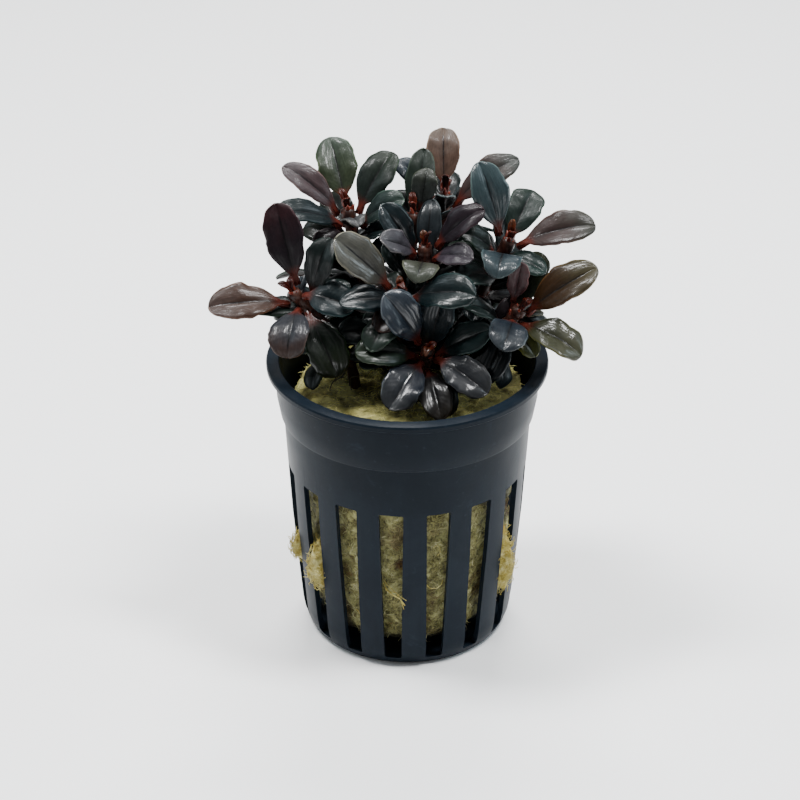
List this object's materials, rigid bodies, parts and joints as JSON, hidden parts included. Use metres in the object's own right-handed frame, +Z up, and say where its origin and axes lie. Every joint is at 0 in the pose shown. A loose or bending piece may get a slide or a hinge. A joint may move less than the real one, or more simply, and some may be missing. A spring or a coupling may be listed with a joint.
{
  "type": "potted aquarium plant",
  "caption": "Small leafy aquarium plant with dark spoon-shaped leaves on red stems, growing from rock wool in a slotted plastic net pot.",
  "frame": {"origin": "centre of the pot's flat base, on the pot's axis, at the surface that the pot stands on", "axes": "+Z up along the pot's axis; -Y towards the front of the plant; +X to the right seen from the front"},
  "size_m": [0.073, 0.0593, 0.096],
  "materials": {
    "slate_plastic": "satin, damp",
    "rock_wool": "rough fibrous mineral wool",
    "red_stem": "waxy plant stem",
    "leaf_green": "waxy wet leaf",
    "leaf_mauve": "waxy wet leaf",
    "leaf_olive": "waxy wet leaf",
    "leaf_teal": "waxy wet leaf",
    "leaf_slate": "waxy wet leaf",
    "leaf_maroon": "waxy wet leaf"
  },
  "bodies": {
    "root": {"pot": "slate_plastic", "rock_wool": "rock_wool", "stem_rear_left": "red_stem", "stem_rear_middle": "red_stem", "stem_rear_right": "red_stem", "stem_upper_right": "red_stem", "stem_middle": "red_stem", "stem_left": "red_stem", "stem_right": "red_stem", "stem_front": "red_stem", "stem_centre_left": "red_stem", "stem_back_left": "red_stem", "stem_back_right": "red_stem", "leaf_rear_left_up": "leaf_green", "leaf_rear_left_upper_left": "leaf_mauve", "leaf_rear_left_upper_right": "leaf_olive", "leaf_rear_left_lower_left": "leaf_teal", "leaf_rear_left_right": "leaf_teal", "leaf_rear_middle_left": "leaf_olive", "leaf_rear_middle_up": "leaf_green", "leaf_rear_right_up": "leaf_mauve", "leaf_rear_right_left": "leaf_slate", "leaf_rear_right_right": "leaf_mauve", "leaf_upper_right_upper_left": "leaf_teal", "leaf_upper_right_right": "leaf_mauve", "leaf_upper_right_up": "leaf_green", "leaf_upper_right_front": "leaf_slate", "leaf_upper_right_left": "leaf_green", "leaf_middle_right": "leaf_maroon", "leaf_middle_left": "leaf_mauve", "leaf_middle_lower_right": "leaf_mauve", "leaf_middle_front": "leaf_olive", "leaf_middle_upper_left": "leaf_teal", "leaf_left_up": "leaf_maroon", "leaf_left_right": "leaf_slate", "leaf_left_left": "leaf_mauve", "leaf_left_down": "leaf_mauve", "leaf_left_upper_right": "leaf_green", "leaf_left_lower_right": "leaf_green", "leaf_right_upper_left": "leaf_mauve", "leaf_right_upper_right": "leaf_olive", "leaf_right_front": "leaf_slate", "leaf_right_lower_right": "leaf_mauve", "leaf_right_below": "leaf_teal", "leaf_right_behind": "leaf_green", "leaf_front_upper_left": "leaf_teal", "leaf_front_lower_right": "leaf_slate", "leaf_front_lower_left": "leaf_slate", "leaf_front_left": "leaf_green", "leaf_front_right": "leaf_green", "leaf_front_down": "leaf_maroon", "leaf_front_upper_right": "leaf_teal", "leaf_centre_left_upper_left": "leaf_slate", "leaf_centre_left_right": "leaf_teal", "leaf_back_left_left": "leaf_green", "leaf_back_left_away": "leaf_mauve", "leaf_back_left_low": "leaf_slate", "leaf_back_right_away": "leaf_green", "leaf_back_right_right": "leaf_slate", "leaf_back_right_low": "leaf_maroon"}
  },
  "joints": []
}
